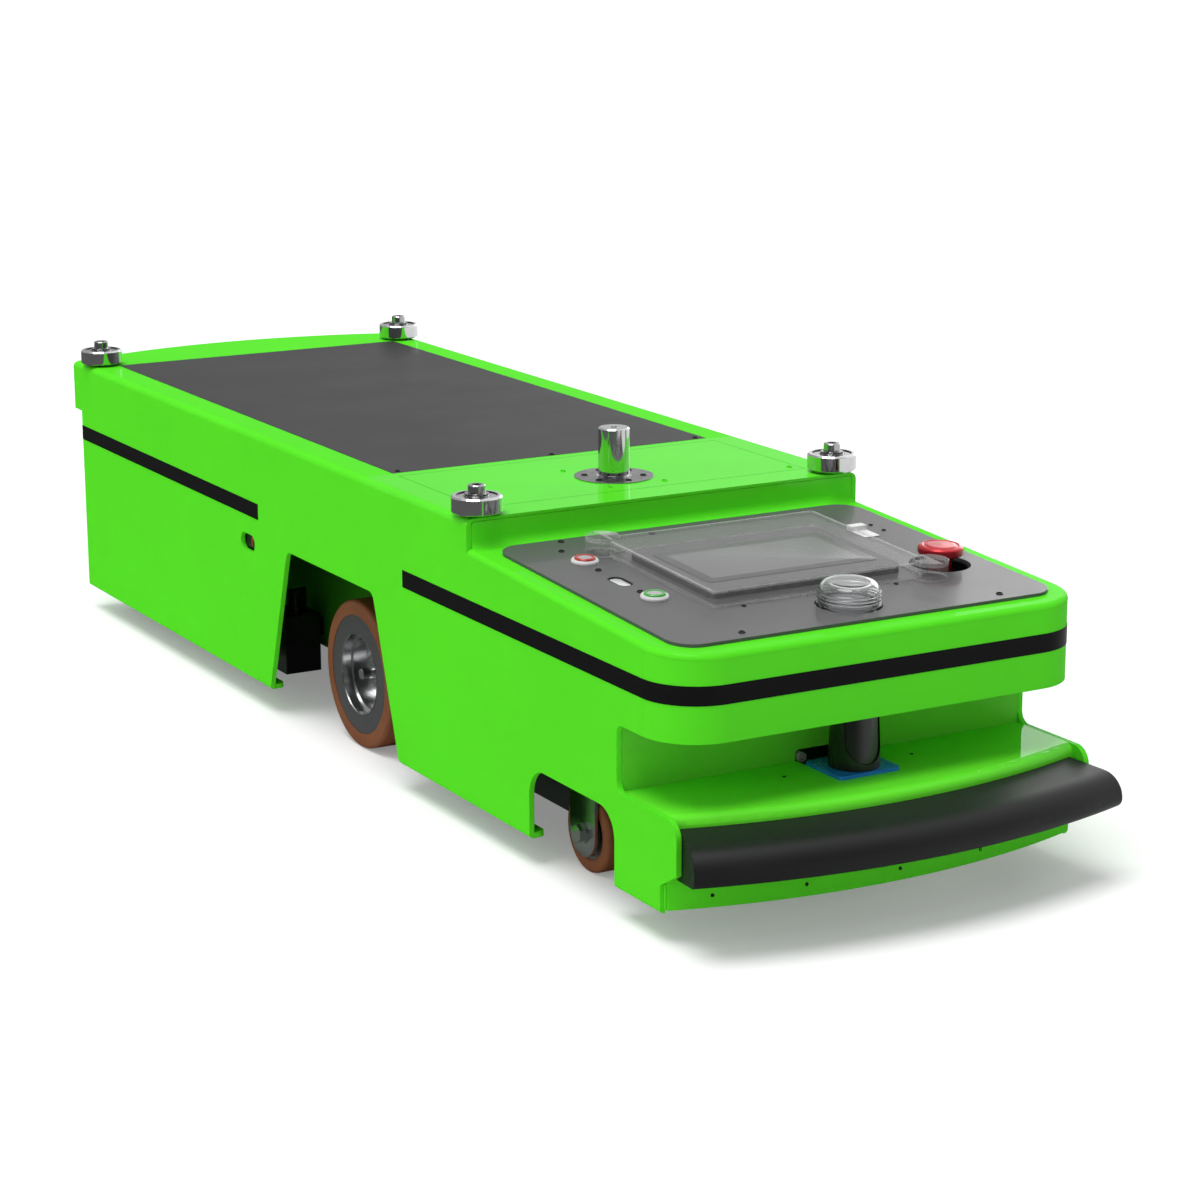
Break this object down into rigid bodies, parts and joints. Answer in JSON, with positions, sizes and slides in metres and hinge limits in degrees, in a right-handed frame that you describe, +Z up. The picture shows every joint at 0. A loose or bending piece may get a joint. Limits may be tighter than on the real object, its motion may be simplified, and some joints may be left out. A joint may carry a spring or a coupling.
{
  "type": "towing automated guided vehicle",
  "caption": "Low green towing guided vehicle with a lifting tow pin, corner guide rollers, sloped control nose, scanner recess and curved rubber bumper.",
  "frame": {"origin": "floor level under the middle of the vehicle", "axes": "+Z up, front towards -Y, +X to the vehicle's left"},
  "size_m": [0.433, 1.4818, 0.34],
  "materials": {
    "green_paint": "gloss",
    "bumper_rubber": "matte",
    "grey_panel": "matte",
    "satin_steel": "satin",
    "bright_steel": "polished",
    "bolt_steel": "polished",
    "screen_plastic": "satin",
    "clear_plastic": "gloss",
    "red_plastic": "gloss",
    "green_plastic": "gloss",
    "black_plastic": "satin",
    "white_plastic": "gloss",
    "blue_plastic": "satin",
    "black_steel": "satin",
    "battery_case": "matte",
    "motor_grey": "satin",
    "brown_tyre": "satin",
    "grey_core": "matte",
    "fork_chrome": "polished"
  },
  "bodies": {
    "chassis": {"body_shell": "green_paint", "nose_side_l": "green_paint", "nose_side_r": "green_paint", "rear_lip": "green_paint", "rear_panel": "green_paint", "nose_hood": "green_paint", "recess_panel": "green_paint", "front_shelf": "green_paint", "front_skirt": "green_paint", "bumper": "bumper_rubber", "deck_cover": "grey_panel", "pin_plate": "green_paint", "pin_guide": "satin_steel", "roller_studs": "bolt_steel", "control_plate": "grey_panel", "touch_screen": "screen_plastic", "screen_cover": "clear_plastic", "stop_button": "red_plastic", "panel_wells": "black_plastic", "panel_fittings": "white_plastic", "red_button": "red_plastic", "green_button": "green_plastic", "lamp_dome": "clear_plastic", "scanner_head": "black_plastic", "scanner_base": "blue_plastic", "side_sensors": "red_plastic", "base_frame": "black_steel", "bay_walls": "green_paint", "battery": "battery_case", "drive_units": "motor_grey", "ground_reader": "black_plastic"},
    "tow_pin": {"tow_pin": "bright_steel"},
    "drive_wheel_l": {"drive_tyre_l": "brown_tyre", "drive_core_l": "grey_core", "drive_hub_l": "satin_steel"},
    "drive_wheel_r": {"drive_tyre_r": "brown_tyre", "drive_core_r": "grey_core", "drive_hub_r": "satin_steel"},
    "roller_fl": {"roller_fl": "bright_steel"},
    "fork_fl": {"fork_fl": "fork_chrome"},
    "castor_fl": {"castor_fl": "brown_tyre"},
    "roller_fr": {"roller_fr": "bright_steel"},
    "fork_fr": {"fork_fr": "fork_chrome"},
    "castor_fr": {"castor_fr": "brown_tyre"},
    "roller_rl": {"roller_rl": "bright_steel"},
    "fork_rl": {"fork_rl": "fork_chrome"},
    "castor_rl": {"castor_rl": "brown_tyre"},
    "roller_rr": {"roller_rr": "bright_steel"},
    "fork_rr": {"fork_rr": "fork_chrome"},
    "castor_rr": {"castor_rr": "brown_tyre"}
  },
  "joints": [
    {"name": "pin_lift", "type": "slide", "parent": "chassis", "child": "tow_pin", "axis": [0, 0, 1], "range_m": [-0.0455, 0]},
    {"name": "drive_spin_l", "type": "hinge", "parent": "chassis", "child": "drive_wheel_l", "pos_m": [0.157, -0.0105, 0.075], "axis": [1, 0, 0], "continuous": true},
    {"name": "drive_spin_r", "type": "hinge", "parent": "chassis", "child": "drive_wheel_r", "pos_m": [-0.157, -0.0105, 0.075], "axis": [1, 0, 0], "continuous": true},
    {"name": "castor_swivel_fl", "type": "hinge", "parent": "chassis", "child": "fork_fl", "pos_m": [0.157, -0.495, 0.104], "axis": [0, 0, 1], "continuous": true},
    {"name": "castor_spin_fl", "type": "hinge", "parent": "fork_fl", "child": "castor_fl", "pos_m": [0.157, -0.457, 0.0375], "axis": [1, 0, 0], "continuous": true},
    {"name": "castor_swivel_fr", "type": "hinge", "parent": "chassis", "child": "fork_fr", "pos_m": [-0.157, -0.495, 0.104], "axis": [0, 0, 1], "continuous": true},
    {"name": "castor_spin_fr", "type": "hinge", "parent": "fork_fr", "child": "castor_fr", "pos_m": [-0.157, -0.457, 0.0375], "axis": [1, 0, 0], "continuous": true},
    {"name": "castor_swivel_rl", "type": "hinge", "parent": "chassis", "child": "fork_rl", "pos_m": [0.1, 0.53, 0.104], "axis": [0, 0, 1], "continuous": true},
    {"name": "castor_spin_rl", "type": "hinge", "parent": "fork_rl", "child": "castor_rl", "pos_m": [0.1, 0.568, 0.0375], "axis": [1, 0, 0], "continuous": true},
    {"name": "castor_swivel_rr", "type": "hinge", "parent": "chassis", "child": "fork_rr", "pos_m": [-0.1, 0.53, 0.104], "axis": [0, 0, 1], "continuous": true},
    {"name": "castor_spin_rr", "type": "hinge", "parent": "fork_rr", "child": "castor_rr", "pos_m": [-0.1, 0.568, 0.0375], "axis": [1, 0, 0], "continuous": true},
    {"name": "roller_spin_fl", "type": "hinge", "parent": "chassis", "child": "roller_fl", "pos_m": [0.1915, -0.292, 0.3026], "axis": [0, 0, 1], "continuous": true},
    {"name": "roller_spin_fr", "type": "hinge", "parent": "chassis", "child": "roller_fr", "pos_m": [-0.1915, -0.292, 0.3026], "axis": [0, 0, 1], "continuous": true},
    {"name": "roller_spin_rl", "type": "hinge", "parent": "chassis", "child": "roller_rl", "pos_m": [0.1915, 0.651, 0.3026], "axis": [0, 0, 1], "continuous": true},
    {"name": "roller_spin_rr", "type": "hinge", "parent": "chassis", "child": "roller_rr", "pos_m": [-0.1915, 0.651, 0.3026], "axis": [0, 0, 1], "continuous": true}
  ]
}
